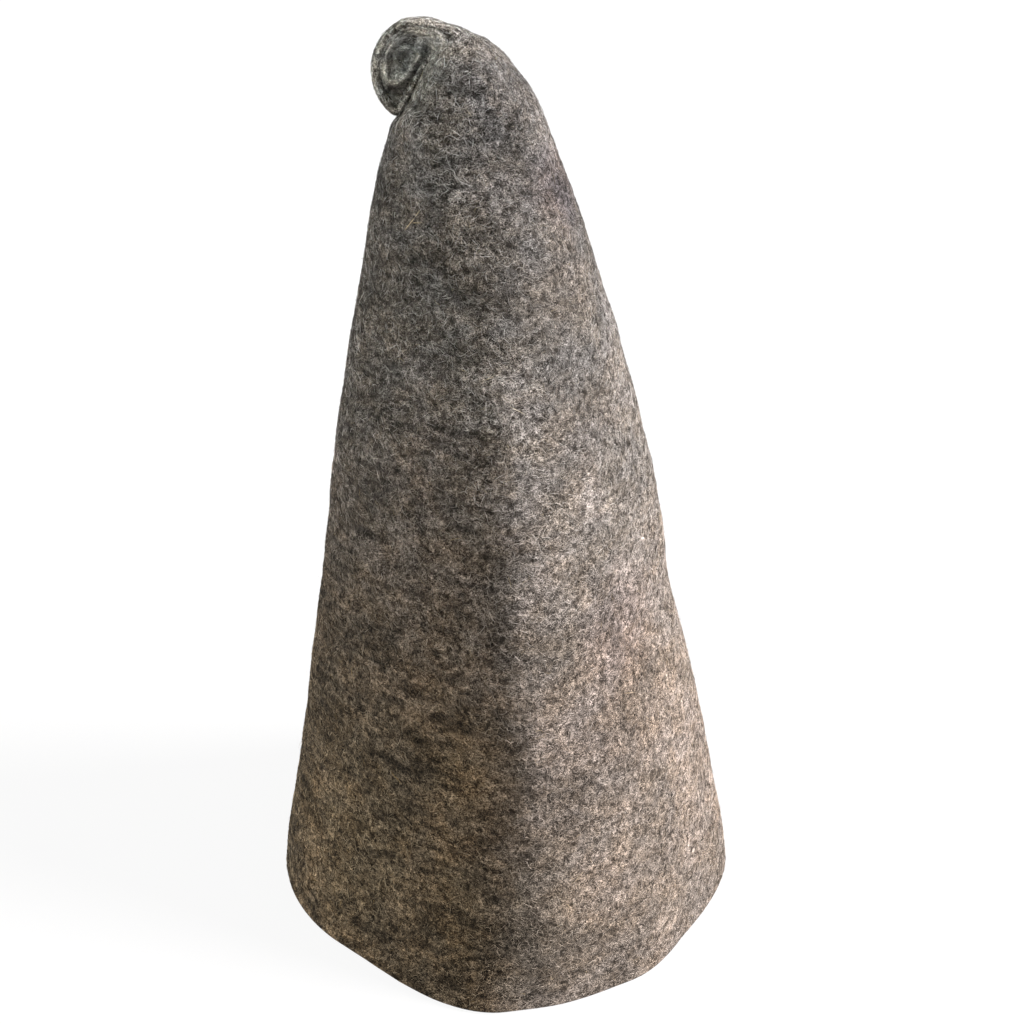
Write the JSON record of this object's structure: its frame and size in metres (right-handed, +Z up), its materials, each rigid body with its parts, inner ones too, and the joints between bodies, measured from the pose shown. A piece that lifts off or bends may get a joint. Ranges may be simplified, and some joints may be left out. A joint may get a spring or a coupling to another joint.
{
  "type": "felt sauna hat",
  "caption": "Tall conical felt sauna hat, open at the hem, with soft front and back fold edges and a flattened tip rolled into a small snail on one side.",
  "frame": {"origin": "middle of the hem, on the plane that the hem stands on", "axes": "+Z up along the cone to the tip, the front fold edge faces -Y, the rolled tip lies towards -X"},
  "size_m": [0.2152, 0.216, 0.4019],
  "materials": {
    "wool_felt": "thick wet-felted undyed wool, grey-brown melange of dark and pale fibres, matte and hairy"
  },
  "bodies": {
    "root": {"felt_hat": "wool_felt"}
  },
  "joints": []
}
